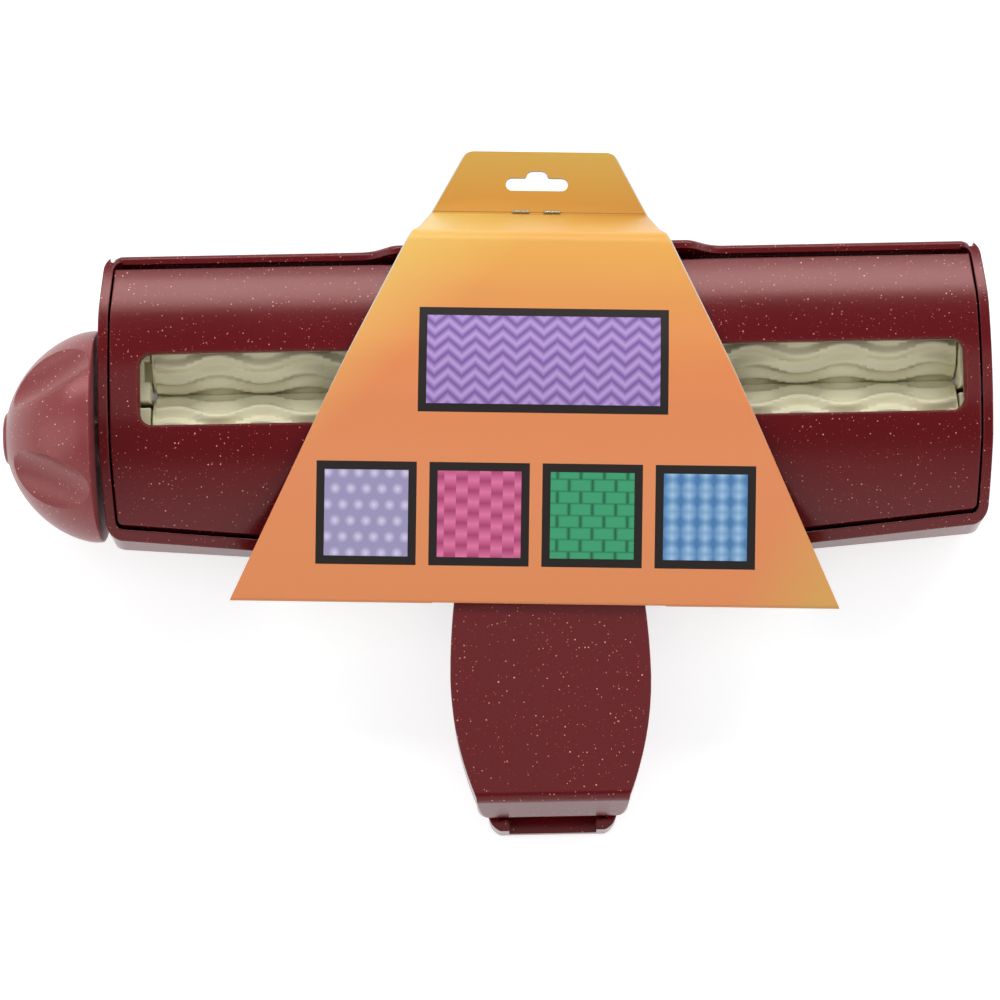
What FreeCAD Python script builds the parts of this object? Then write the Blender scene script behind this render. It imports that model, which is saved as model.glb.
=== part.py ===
# Hand-held paper crimper: two wave-toothed rollers in a wide head, turned by a knob and squeezed by a handle
import FreeCAD, Part
import math
import os

V = FreeCAD.Vector

# Resting plane and the tilt of the roller pair against it, seen from the right end
head_tilt_deg = 10.0
back_gap = 0.2            # air between the hang card's rear ply and the housing

# Head, outer sizes
head_half_width = 92.0
head_top_y = 60.5
head_corner_y = 1.9       # lower rim at its two corners
head_sag_y = -5.3         # lower rim where its two halves meet in the middle
head_draw_top = 1.0       # how far the ends draw in towards the top and the lower rim
head_draw_low = 0.7
head_full_high_y = 46.6   # the ends are widest from here
head_full_low_y = 17.5    # down to here
head_bend = 30.0
head_top_corner = 4.0
head_low_corner = 3.5
rim_wall = 2.0
back_wall = 2.2
undercut_top_z = 16.0
undercut_depth = 7.0

# Ribs on the back wall, below the slot where the paper comes out
rib_length = 150.0
rib_wall = 1.4
rib_height = 2.2
rib_first = 3.2
rib_second = 11.0

# Ribs, seats and posts inside the housing
seat_wall = 1.6           # round the spring and round the stop
seat_height = 1.8
seat_gap = 0.3            # air between the spring's wire and its seats
post_wall = 1.7           # round the top cover's screws
post_rib = 2.2

# Front cover
cover_radius = 56.0       # curvature of the front, from the top edge to the lower rim
cover_height = 14.72      # from the roller plane to the front surface, over the nip
cover_wall = 2.0
cover_top_y = 56.6
cover_low_y = 4.0
cover_gap = 0.5
cover_lower_gap = 0.4     # extra room under the cover's lower edge, which swings outward
window_left_x = -83.4
window_right_x = 86.2
window_lower = -7.3       # window edges, along the front from the nip
window_upper = 7.4
window_corner = 2.5
window_bevel = 0.7
exit_half = 5.5           # half the height of the slot in the back wall

# Rollers
pitch_radius = 7.75
tooth_height = 0.75       # half the depth from crest to root
tooth_count = 14
tooth_turn_deg = 7.8      # how far the teeth are turned to the front at the nip, midway in each wave
wave_length = 18.6
wave_angle_deg = 9.2
wave_shift = 0.7          # place of the first upward swing of the upper roller, in waves from its left end
roller_left_x = -81.0
roller_length = 166.6
roller_spans = 54         # straight steps in which the teeth follow their waves
collar_radius = 7.7
collar_left = 0.6
collar_right = 0.2
axis_distance = 16.45     # the teeth still clear each other when the lever is squeezed
drive_axis_z = 22.8
nip_y = 32.7
shaft_radius = 3.0
press_clearance = 0.02
running_clearance = 0.05
end_float = 0.4           # air between a roller's end and its bearing
roller_washer_width = 2.2

# Bearing blocks
block_reach = 16.5
block_upper_low = -2.0    # lower edge of the upper blocks, along the roller plane from the nip
block_split = 1.1         # air between an upper and a lower block
block_front_upper = 8.9
block_front_lower = 8.2
block_back = 7.0
block_slot_width = 1.3    # slot in the front of the upper left block
block_slot_height = 4.6
block_slot_depth = 6.0
block_slot_up = 4.4
bearing_boss_radius = 5.2
bearing_side_gap = 0.3    # between a lower block and the lever's end plate

# Hinge under the top edge
hinge_y = 53.6
hinge_z = 7.5
hinge_pin_radius = 1.6
hinge_bush_radius = 2.5
hinge_eye_radius = 3.6
arm_wall = 2.0
arm_boss_wall = 1.5       # beside the bearing that each arm carries
arm_inset = 0.35          # the arms stand in from the cover's ends, clear of the narrowing end walls
hinge_pin_stub = 1.2
squeeze_deg = 1.6

# Top cover with its raised middle
ledge_z = 34.6
ledge_wall = 2.0
hump_half = 31.0
hump_rise = 4.2
hump_shoulder = 5.0
ledge_end = 1.5           # slope at the ledge's two ends
ledge_end_round = 1.6
top_joint_z = 14.0

# Handle
handle_wide = 20.6
handle_neck = 19.4
handle_end_half = 15.7
handle_root_half = 25.0
handle_root_y = 20.6
handle_neck_y = -12.0
handle_wide_y = -29.0
handle_end_y = -55.65
handle_end_slant = 1.75
handle_end_corner = 2.4
handle_top_neck_z = 27.0
handle_top_end_z = 22.6
handle_low_end_z = 10.8
handle_low_neck_z = 13.0
skirt_start_y = -10.6
handle_wall = 2.0
skirt_gap = 0.4           # round the rear handle, and over the housing's rim when squeezed
far_wall = 2.2
far_end_extra = 2.35
far_post = 4.2
far_step_gap = 0.5        # under and before the front handle's end wall, when squeezed
far_top_end_z = 14.0
far_top_neck_z = 18.0

# Spring and stop between the two handles
spring_y = -27.0
spring_radius = 4.4
spring_wire = 0.6
spring_turns = 6.5
stop_y = -48.0
stop_radius = 3.6

# Knob
knob_radius = 22.2
knob_length = 20.2
knob_lip = 1.4
dome_fullness = 1.22      # 1 would make the dome half an ellipse, less is fuller
knob_gap = 0.9
knob_wall = 4.4
knob_room = 5.5           # depth of the hollow behind
knob_hub_radius = 7.0
knob_plate_wall = 1.5
dent_count = 5
dent_radius = 19.0
dent_length = 20.0
dent_width = 7.0
dent_depth = 3.0
dent_start_deg = 43.6
knob_flat_depth = 0.7     # flat on the shaft's end that turns with the knob
knob_bore = 12.3
cap_radius = 5.6
cap_height = 1.6
washer_wall = 0.5

# Fasteners
screw_radius = 1.25
screw_head_radius = 2.5
screw_head = 1.4
screw_length = 8.0
screw_sink = 0.2          # depth of the heads below the back, and air round them
screw_slot_width = 0.7
screw_in = 3.4            # from the inside of the top wall
screw_spread = (72.0, 26.0)
cap_seat = 0.8            # plastic between the knob's cap and the head of its screw

# Hang card
card_wall = 0.4
card_gap = 1.2
card_turn_deg = 1.95      # it hangs a little askew, turned about the middle of its fold
card_bottom_half = 63.1
card_bottom_y = -14.6
card_shoulder_half = 25.2
card_shoulder_y = 65.2
card_fold_half = 23.55
card_fold_y = 75.7
card_top_half = 16.2
card_top_y = 90.0
card_top_corner = 3.0
card_header_z = 12.0
card_lower_fold_y = -6.0
card_slot_half = 24.0
card_slot_x = 3.0
card_bend = 3.0
hang_hole_x = -0.6        # middle of the hole and of the staples
hang_hole_half = 6.75
hang_hole_height = 3.0
hang_hole_corner = 1.4
hang_bump_half = 2.3
hang_bump_height = 1.6
hang_hole_down = 6.0
staple_spread = 3.37
staple_up = 0.35          # above the header's fold
staple_length = 3.1
staple_wire = 0.3
staple_leg = 1.3          # folded under the header

# Values that follow from the sizes above
tilt = math.radians(head_tilt_deg)
back_z = card_wall + back_gap
floor_z = back_z + back_wall
nip_z = drive_axis_z + axis_distance / 2 * math.sin(tilt)
roller_right_x = roller_left_x + roller_length
inner_half = head_half_width - rim_wall
cover_half = inner_half - cover_gap
arm_outer_half = cover_half - arm_inset
arm_inner_half = arm_outer_half - arm_wall
shaft_end_gap = 0.3
blind_wall = 0.8          # left standing at a bearing boss's closed end
slot_centre_y = nip_y + math.tan(tilt) * (nip_z - back_z)


def head_point(along, out):
    # A point of the side view in the tilted head: along the roller plane from the nip, and out to the front
    return (nip_y + along * math.cos(tilt) - out * math.sin(tilt),
            nip_z + along * math.sin(tilt) + out * math.cos(tilt))


drive_axis = head_point(-axis_distance / 2, 0)
idler_axis = head_point(axis_distance / 2, 0)
arc_centre = head_point(0, cover_height - cover_radius)


def flat(x, y):
    return V(x, y, 0)


def side(y, z):
    return V(0, y, z)


def rounded(points, radii, place=flat):
    # A closed wire through the points, with an arc of the given radius at each corner
    starts = []
    count = len(points)
    for i in range(count):
        corner = place(*points[i])
        before = place(*points[i - 1]) - corner
        after = place(*points[(i + 1) % count]) - corner
        radius = radii[i] if isinstance(radii, (list, tuple)) else radii
        turn = before.getAngle(after)
        reach = radius / math.tan(turn / 2) if radius else 0.0
        before.normalize()
        after.normalize()
        enter = corner + before * reach
        leave = corner + after * reach
        middle = before + after
        if radius:
            middle.normalize()
            middle = corner + middle * (radius / math.sin(turn / 2) - radius)
        starts.append((enter, middle, leave, radius))
    edges = []
    for i in range(count):
        enter, middle, leave, radius = starts[i]
        if radius:
            edges.append(Part.Arc(enter, middle, leave).toShape())
        following = starts[(i + 1) % count][0]
        if (following - leave).Length > 1e-4:
            edges.append(Part.LineSegment(leave, following).toShape())
    return Part.Wire(edges)


def upright(wire, low, high):
    solid = Part.Face(wire).extrude(V(0, 0, high - low))
    solid.translate(V(0, 0, low))
    return solid


def across(wire, left, right):
    solid = Part.Face(wire).extrude(V(right - left, 0, 0))
    solid.translate(V(left, 0, 0))
    return solid


def rod(axis, radius, left, right):
    return Part.makeCylinder(radius, right - left, V(left, axis[0], axis[1]), V(1, 0, 0))


def stud(place, radius, low, high):
    return Part.makeCylinder(radius, high - low, V(place[0], place[1], low), V(0, 0, 1))


def joined(shapes):
    return shapes[0].fuse(shapes[1:]).removeSplitter()


def under_arc(inset, low):
    # Everything below the front arc, as a side view region pushed across the whole width
    radius = cover_radius - inset
    left_y = head_sag_y - 6.0
    right_y = head_top_y + 6.0
    ends = []
    for y in (left_y, (left_y + right_y) / 2, right_y):
        reach = y - arc_centre[0]
        ends.append(side(y, arc_centre[1] + math.sqrt(radius ** 2 - reach ** 2)))
    edges = [Part.Arc(*ends).toShape()]
    edges.append(Part.LineSegment(ends[2], side(right_y, low)).toShape())
    edges.append(Part.LineSegment(side(right_y, low), side(left_y, low)).toShape())
    edges.append(Part.LineSegment(side(left_y, low), ends[0]).toShape())
    reach = head_half_width + 10.0
    return across(Part.Wire(edges), -reach, reach)


def front_z(y, inset=0.0):
    return arc_centre[1] + math.sqrt((cover_radius - inset) ** 2 - (y - arc_centre[0]) ** 2)


def head_plan(inset=0.0):
    # Outline of the head from the front: straight top, ends drawn in below, lower edge dipping to the middle
    half = head_half_width
    high = half - head_draw_top
    low = half - head_draw_low
    right = [(high, head_top_y), (half, head_full_high_y), (half, head_full_low_y), (low, head_corner_y)]
    radii = [head_top_corner, head_bend, head_bend, head_low_corner]
    points = right + [(0, head_sag_y)] + [(-x, y) for x, y in reversed(right)]
    wire = rounded(points, radii + [head_bend] + radii[::-1])
    if inset:
        wire = wire.makeOffset2D(-inset)
    return wire


def sag_wedges(inset):
    # What is cut away below the lower rim, so that the housing draws in towards its back
    slope = math.degrees(math.atan2(head_corner_y - head_sag_y, head_half_width - head_draw_low))
    low = back_z - 2.0
    foot = undercut_depth * (undercut_top_z - low) / (undercut_top_z - back_z)
    base_y = head_sag_y + inset
    far = base_y - 30
    points = [(far, undercut_top_z), (base_y, undercut_top_z), (base_y + foot, low), (far, low)]
    wedges = []
    for turn in (slope, -slope):
        wedge = across(rounded(points, 0, side), -150, 150)
        wedge.rotate(V(0, base_y, 0), V(0, 0, 1), turn)
        wedges.append(wedge)
    return wedges


def handle_plan(inset, end_y, root_y):
    # Outline of the handle from the front: a waist at the head, widest under the palm, narrower at the end
    root = (handle_root_half - inset, root_y)
    neck = (handle_neck - inset, handle_neck_y)
    wide = (handle_wide - inset, handle_wide_y)
    last = (handle_end_half - inset, handle_end_y + handle_end_corner)
    swell = (handle_wide - (handle_wide - handle_end_half) * 0.27 - inset,
             handle_wide_y + (last[1] - wide[1]) * 0.52)
    bulge = ((neck[0] + wide[0]) / 2 + 0.28, (neck[1] + wide[1]) / 2)
    edges = []
    for s in (1, -1):
        p = [flat(s * q[0], q[1]) for q in (root, neck, bulge, wide, swell, last)]
        drop = last[1] - end_y
        corner_x = last[0] - handle_end_corner
        corner = flat(s * corner_x, end_y)
        knee = flat(s * (last[0] - 0.32 * handle_end_corner), last[1] - 0.74 * drop)
        edges += [Part.LineSegment(p[0], p[1]).toShape(), Part.Arc(p[1], p[2], p[3]).toShape()]
        edges += [Part.Arc(p[3], p[4], p[5]).toShape(), Part.Arc(p[5], knee, corner).toShape()]
    edges.append(Part.LineSegment(flat(-corner_x, end_y), flat(corner_x, end_y)).toShape())
    edges.append(Part.LineSegment(flat(-root[0], root_y), flat(root[0], root_y)).toShape())
    return Part.Wire(Part.__sortEdges__(edges))


def rear_housing():
    # Tub of the head and the rear half of the handle, one moulding
    top = 60.0
    body = upright(head_plan(), back_z, top).common(under_arc(0.0, back_z - 1.0))
    body = body.cut(sag_wedges(0.0))
    cavity = upright(head_plan(rim_wall), floor_z, top)
    cavity = cavity.cut(sag_wedges(rim_wall))
    # the wall behind the ledge belongs to the top cover from its joint upwards
    shelf = head_top_y - rim_wall
    upper = Part.makeBox(2 * inner_half, rim_wall + 1, top, V(-inner_half, shelf - 0.01, top_joint_z))
    far_inset = handle_wall + skirt_gap
    far_end = handle_end_y - far_end_extra
    plan = handle_plan(far_inset, far_end, 4.0)
    step_y = handle_end_y + handle_wall + far_step_gap + handle_end_slant * 0.5
    step_z = handle_low_end_z - squeeze_drop(handle_end_y) - far_step_gap
    rail_points = [(handle_root_y, back_z), (handle_root_y, far_top_neck_z), (handle_neck_y, far_top_neck_z),
                   (step_y, far_top_end_z), (step_y, step_z), (far_end - 5, step_z), (far_end - 5, back_z)]
    rail_top = rounded(rail_points, [0, 0, 8, 0, 0, 0, 0], side)
    rail = upright(plan, back_z, top).common(across(rail_top, -40, 40))
    # open at its far end, except for a post at each corner
    channel = upright(handle_plan(far_inset + far_wall, far_end - 6.0, 12.0), floor_z, top)
    for s in (1, -1):
        post = Part.makeBox(far_post, far_end_extra + 1.0, top,
                            V(handle_end_half - far_inset - far_post, far_end - 1, 0))
        if s < 0:
            post = post.mirror(V(0, 0, 0), V(1, 0, 0))
        channel = channel.cut(post)
    solid = joined([body.cut(cavity).cut(upper), rail.cut(cavity)]).cut(channel)
    return solid.cut(exit_window()).cut(housing_holes()).fuse(housing_bosses()).removeSplitter()


def exit_window():
    # The slot in the back wall where the crimped paper comes out
    low = slot_centre_y - exit_half
    high = slot_centre_y + exit_half
    points = [(window_left_x, low), (window_right_x, low), (window_right_x, high), (window_left_x, high)]
    return upright(rounded(points, window_corner), -1, floor_z + 1)


def screw_places():
    return [(s * x, head_top_y - rim_wall - screw_in) for x in screw_spread for s in (-1, 1)]


def housing_holes():
    holes = []
    for s in (-1, 1):
        left = s * inner_half - (rim_wall + 1 if s < 0 else 1)
        holes.append(rod(drive_axis, bearing_boss_radius + running_clearance, left, left + rim_wall + 2))
        holes.append(rod((hinge_y, hinge_z), hinge_pin_radius + press_clearance,
                         s * inner_half - hinge_pin_stub, s * inner_half + hinge_pin_stub))
    for place in screw_places():
        holes.append(stud(place, screw_radius + running_clearance, -2, 18))
        holes.append(stud(place, screw_head_radius + screw_sink, -2, back_z + screw_sink + screw_head))
    return holes


def housing_bosses():
    bosses = []
    spring_bore = spring_radius + spring_wire + seat_gap
    for y, bore in ((spring_y, spring_bore), (stop_y, stop_radius + running_clearance)):
        seat = stud((0, y), bore + seat_wall, floor_z - 0.2, floor_z + seat_height)
        bosses.append(seat.cut(stud((0, y), bore, floor_z, floor_z + seat_height + 1)))
    # ribs that stiffen the back wall beside the paper slot
    for down in (rib_first, rib_second):
        bosses.append(Part.makeBox(rib_length, rib_wall, rib_height,
                                   V(-rib_length / 2, slot_centre_y - exit_half - down, floor_z - 0.2)))
    return bosses


def top_cover():
    # Upper wall of the head with its ledge, raised in the middle
    depth_y = head_top_y - ledge_wall
    half = inner_half - 0.3
    end_z = ledge_z - ledge_end
    ledge = [(-half, top_joint_z), (half, top_joint_z), (half, end_z), (half - ledge_end, ledge_z),
             (hump_half + hump_shoulder, ledge_z), (hump_half, ledge_z + hump_rise),
             (-hump_half, ledge_z + hump_rise), (-hump_half - hump_shoulder, ledge_z),
             (ledge_end - half, ledge_z), (-half, end_z)]
    turn = ledge_end_round
    outline = rounded(ledge, [0, 0, turn, turn, 6, 4, 4, 6, turn, turn], lambda x, z: V(x, head_top_y, z))
    wall = Part.Face(outline).extrude(V(0, -ledge_wall, 0))
    crown = [e for e in wall.Edges if e.BoundBox.ZMin > end_z - ledge_end_round
             and e.BoundBox.YMin > head_top_y - 0.01]
    wall = wall.makeFillet(ledge_wall * 0.45, crown)
    tongue = Part.makeBox(2 * half - 6, 3.0, 1.6, V(3 - half, depth_y - 2.8, top_joint_z))
    pieces = [wall, tongue]
    post_top = top_joint_z + 1.0
    for x, y in screw_places():
        pieces.append(stud((x, y), screw_radius + post_wall, floor_z, post_top))
        pieces.append(Part.makeBox(post_rib, depth_y - 0.1 - y, post_top - floor_z,
                                   V(x - post_rib / 2, y, floor_z)))
    hole_end = back_z + screw_sink + screw_length + 1.5
    return joined(pieces).cut([stud(place, screw_radius, floor_z - 1, hole_end) for place in screw_places()])


def top_cover_screws():
    screws = []
    low = back_z + screw_sink
    width = screw_slot_width
    for x, y in screw_places():
        head = stud((x, y), screw_head_radius, low, low + screw_head)
        shank = stud((x, y), screw_radius - press_clearance, low, low + screw_length)
        slot = Part.makeBox(2 * screw_head_radius + 1, width, width,
                            V(x - screw_head_radius - 0.5, y - width / 2, low - 0.01))
        screws.append(head.fuse(shank).cut(slot))
    return Part.makeCompound(screws)


def front_lever():
    # Front cover with its window, the bridge to the front handle, and the two arms that reach the hinge
    low = 5.0
    plan = head_plan(rim_wall + cover_gap)
    outer = upright(plan, low, 60).common(under_arc(0.0, low))
    shifted = upright(plan, low, 60)
    shifted.translate(V(0, cover_lower_gap, 0))
    outer = outer.common(shifted)
    outer = outer.cut(Part.makeBox(300, 40, 80, V(-150, cover_top_y, -5)))
    hollow = upright(head_plan(rim_wall + cover_gap + arm_wall), low - 1, 60)
    hollow = hollow.common(under_arc(cover_wall, low - 1))
    hollow = hollow.cut(Part.makeBox(300, 40, 80, V(-150, cover_top_y - cover_wall, -5)))
    # the end skirts stay above the drive shaft's bearings, also when the lever is squeezed
    low_edge = front_z(cover_low_y, cover_wall)
    bearing_top = drive_axis[1] + bearing_boss_radius + squeeze_drop(drive_axis[0]) + bearing_side_gap
    base = [(-20, 2), (-20, low_edge - 1.4), (cover_low_y, low_edge - 1.4),
            (drive_axis[0] - bearing_boss_radius, bearing_top), (cover_top_y + 5, bearing_top + 1.5),
            (cover_top_y + 5, 2)]
    cover = outer.cut(hollow).cut(across(rounded(base, 0, side), -150, 150))

    top_slope = (handle_top_neck_z - handle_top_end_z) / (handle_neck_y - 4 - handle_end_y)
    end_top = handle_end_y + handle_end_slant
    root_z = front_z(handle_root_y)
    # the bridge clears the housing's rim when it comes down
    rim_y = head_sag_y + rim_wall + handle_neck * (head_corner_y - head_sag_y) / head_half_width
    bridge_z = front_z(rim_y) + squeeze_drop(rim_y) + skirt_gap
    outside = [(handle_root_y, root_z - 0.05), (handle_neck_y - 4, handle_top_neck_z),
               (end_top, handle_top_end_z), (handle_end_y, handle_low_end_z),
               (skirt_start_y, handle_low_neck_z), (skirt_start_y, bridge_z), (cover_low_y - 0.4, bridge_z), (handle_root_y, root_z - 4.5)]
    grip = upright(handle_plan(0.0, handle_end_y, handle_root_y), 0, 60)
    grip = grip.common(across(rounded(outside, [0, 30, 2.2, 0, 0, 1.2, 0, 0], side), -40, 40))
    wall = handle_wall
    inside = [(handle_root_y - 3, root_z - 3.4), (handle_neck_y - 4, handle_top_neck_z - wall),
              (end_top + wall * 0.8, handle_top_end_z - wall + wall * 0.8 * top_slope),
              (handle_end_y + wall, handle_low_end_z - 1), (skirt_start_y + 2, handle_low_neck_z - 6),
              (handle_root_y - 3, handle_low_neck_z)]
    hollow_grip = upright(handle_plan(wall, handle_end_y + wall, handle_root_y - 3), 0, 60)
    hollow_grip = hollow_grip.common(across(rounded(inside, [0, 28, 0, 0, 0, 0], side), -40, 40))
    # nothing of the bridge hangs below the cover's own wall
    under = under_arc(cover_wall, 0).common(Part.makeBox(200, 100, 80, V(-100, cover_low_y + 0.6, 0)))
    shell = joined([cover, grip.cut(under)]).cut(hollow_grip)
    shell = shell.cut(front_window())
    return joined([shell] + hinge_arms() + [spring_socket()]).cut(lever_holes())


def front_window():
    # Paper entry, cut square to the front over the nip, with a small bevel round its outer edge
    width = window_right_x - window_left_x
    points = [(window_left_x, window_lower), (window_right_x, window_lower),
              (window_right_x, window_upper), (window_left_x, window_upper)]
    cutter = upright(rounded(points, window_corner), 6.0, 30.0)
    grown = [(window_left_x - window_bevel, window_lower - window_bevel),
             (window_right_x + window_bevel, window_lower - window_bevel),
             (window_right_x + window_bevel, window_upper + window_bevel),
             (window_left_x - window_bevel, window_upper + window_bevel)]
    low = cover_height - window_bevel * 1.6
    inner = rounded(points, window_corner)
    inner.translate(V(0, 0, low))
    outer = rounded(grown, window_corner + window_bevel)
    outer.translate(V(0, 0, cover_height + window_bevel * 0.4))
    bevel = Part.makeLoft([inner, outer], True, True)
    both = cutter.fuse(bevel)
    both.rotate(V(0, 0, 0), V(1, 0, 0), head_tilt_deg)
    both.translate(V(0, nip_y, nip_z))
    return both


def hinge_arms():
    # End plates of the lever, from the cover down to the hinge eyes
    arms = []
    edge_y = idler_axis[0] - bearing_boss_radius - arm_boss_wall
    foot_z = idler_axis[1] - bearing_boss_radius - arm_boss_wall
    points = [(edge_y, front_z(edge_y, cover_wall) + 0.6),
              (cover_top_y - 0.4, front_z(cover_top_y, cover_wall) + 0.4),
              (hinge_y + hinge_eye_radius, hinge_z), (hinge_y - hinge_eye_radius, hinge_z - 0.5),
              (idler_axis[0] + bearing_boss_radius, foot_z - 4.0), (edge_y + 0.8, foot_z)]
    for s in (-1, 1):
        left = min(s * arm_inner_half, s * arm_outer_half)
        plate = across(rounded(points, [0, 0, 0, 0, 4, 3], side), left, left + arm_wall)
        eye = rod((hinge_y, hinge_z), hinge_eye_radius, left, left + arm_wall)
        arms.append(plate.fuse(eye).removeSplitter())
    return arms


def spring_socket():
    # Ring under the front handle that keeps the spring in place
    roof = handle_roof_z(spring_y)
    bore = spring_radius + spring_wire + seat_gap
    ring = stud((0, spring_y), bore + seat_wall, roof - seat_height, roof + 0.6)
    return ring.cut(stud((0, spring_y), bore, roof - seat_height - 1, roof))


def squeeze_drop(y):
    # How far a point of the lever comes down when the handles are squeezed
    return math.radians(squeeze_deg) * (hinge_y - y)


def handle_roof_z(y):
    # Underside of the front handle's top wall
    start = handle_neck_y - 4
    share = (start - y) / (start - handle_end_y - handle_end_slant)
    return handle_top_neck_z - handle_wall - share * (handle_top_neck_z - handle_top_end_z)


def lever_holes():
    holes = []
    for s in (-1, 1):
        left = min(s * arm_inner_half, s * arm_outer_half) - 0.5
        holes.append(rod((hinge_y, hinge_z), hinge_bush_radius + press_clearance, left, left + arm_wall + 1))
        holes.append(rod(idler_axis, bearing_boss_radius + press_clearance, left, left + arm_wall + 1))
    return holes


def bearing(upper, s):
    # An ivory block beside the rollers, with a boss through the wall that carries it
    if upper:
        low, high, front = block_upper_low, block_reach, block_front_upper
        axis, outer_x, boss_x = idler_axis, arm_inner_half, arm_outer_half - 0.1
    else:
        low, high, front = -block_reach, block_upper_low - block_split, block_front_lower
        axis, outer_x, boss_x = drive_axis, arm_inner_half - bearing_side_gap, head_half_width - 0.2
    roller_end = roller_right_x + collar_right if s > 0 else collar_left - roller_left_x
    inner_x = roller_end + end_float
    corners = [head_point(low, -block_back), head_point(high, -block_back),
               head_point(high, front), head_point(low, front)]
    radii = [1.0, 3.0, 2.0, 0.5] if upper else [3.0, 1.0, 0.5, 2.0]
    block = across(rounded(corners, radii, side), *sorted((s * inner_x, s * outer_x)))
    root_x = (inner_x + outer_x) / 2
    boss = rod(axis, bearing_boss_radius, *sorted((s * root_x, s * boss_x)))
    solid = block.fuse(boss).removeSplitter()
    # the drive shaft goes right through to the knob, the other three ends are closed
    through = s < 0 and not upper
    far = boss_x + 1 if through else boss_x - blind_wall
    solid = solid.cut(rod(axis, shaft_radius + running_clearance, *sorted((s * (inner_x - 1), s * far))))
    if upper and s < 0:
        slot = Part.makeBox(block_slot_width, block_slot_height, block_slot_depth + 1,
                            V(window_left_x + 0.1, -block_slot_height / 2, 0))
        slot.rotate(V(0, 0, 0), V(1, 0, 0), head_tilt_deg)
        slot.translate(side(*head_point(block_slot_up, front - block_slot_depth)))
        solid = solid.cut(slot)
    return solid


def tooth_section(turn, way, x):
    # One closed cross-section of a roller: a smooth wave round the pitch circle, crest or root at the turn
    points = []
    steps = tooth_count * 4
    for i in range(steps):
        angle = turn + 2 * math.pi * i / steps
        radius = pitch_radius + way * tooth_height * math.cos(tooth_count * (angle - turn))
        points.append(V(x, radius * math.cos(angle), radius * math.sin(angle)))
    curve = Part.BSplineCurve()
    curve.interpolate(points, True)
    return Part.Wire([curve.toShape()])


def roller(axis, facing, way):
    # A wave-toothed roller: its teeth swing to and fro along its length, and the pair swings opposite ways.
    # Facing is the direction of the other roller, where the drive roller has a crest and the idler a root.
    sections = []
    # the pair meets crest to root when squeezed: coming down, the idler's teeth slide past the other's
    reach = (hinge_y - nip_y) * math.cos(tilt) + (hinge_z - nip_z) * math.sin(tilt)
    lead = math.radians(squeeze_deg) * reach / pitch_radius if way < 0 else 0.0
    for i in range(roller_spans + 1):
        along = roller_length * i / roller_spans
        swing = math.radians(wave_angle_deg) * math.cos(2 * math.pi * (along / wave_length - wave_shift))
        turn = facing + way * (math.radians(tooth_turn_deg) + swing + lead)
        sections.append(tooth_section(turn, way, roller_left_x + along))
    body = Part.makeLoft(sections, True, True)
    body.translate(V(0, axis[0], axis[1]))
    left = rod(axis, collar_radius, roller_left_x - collar_left, roller_left_x)
    right = rod(axis, collar_radius, roller_right_x, roller_right_x + collar_right)
    solid = body.fuse([left, right])
    bore = rod(axis, shaft_radius + press_clearance, roller_left_x - 5, roller_right_x + 5)
    return solid.cut(bore)


def drive_shaft():
    left = -head_half_width - knob_gap - 12.0
    shaft = rod(drive_axis, shaft_radius, left, head_half_width - 0.2 - blind_wall - shaft_end_gap)
    # flat for the knob, and a tapped end for its screw
    flat_z = drive_axis[1] + shaft_radius - knob_flat_depth
    flat_cut = Part.makeBox(9.0, 8.0, 2.0, V(left - 1, drive_axis[0] - 4, flat_z))
    tap = rod(drive_axis, screw_radius, left - 1, left + 7)
    return shaft.cut(flat_cut).cut(tap)


def idler_shaft():
    reach = arm_outer_half - 0.1 - blind_wall - shaft_end_gap
    return rod(idler_axis, shaft_radius, -reach, reach)


def knob_ends():
    base_x = -head_half_width - knob_gap
    return base_x, base_x - knob_length


def screw_seat_x():
    # Where the head of the knob's screw bears, under its cap
    return knob_ends()[1] + cap_height + screw_head + cap_seat + 0.2


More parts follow.
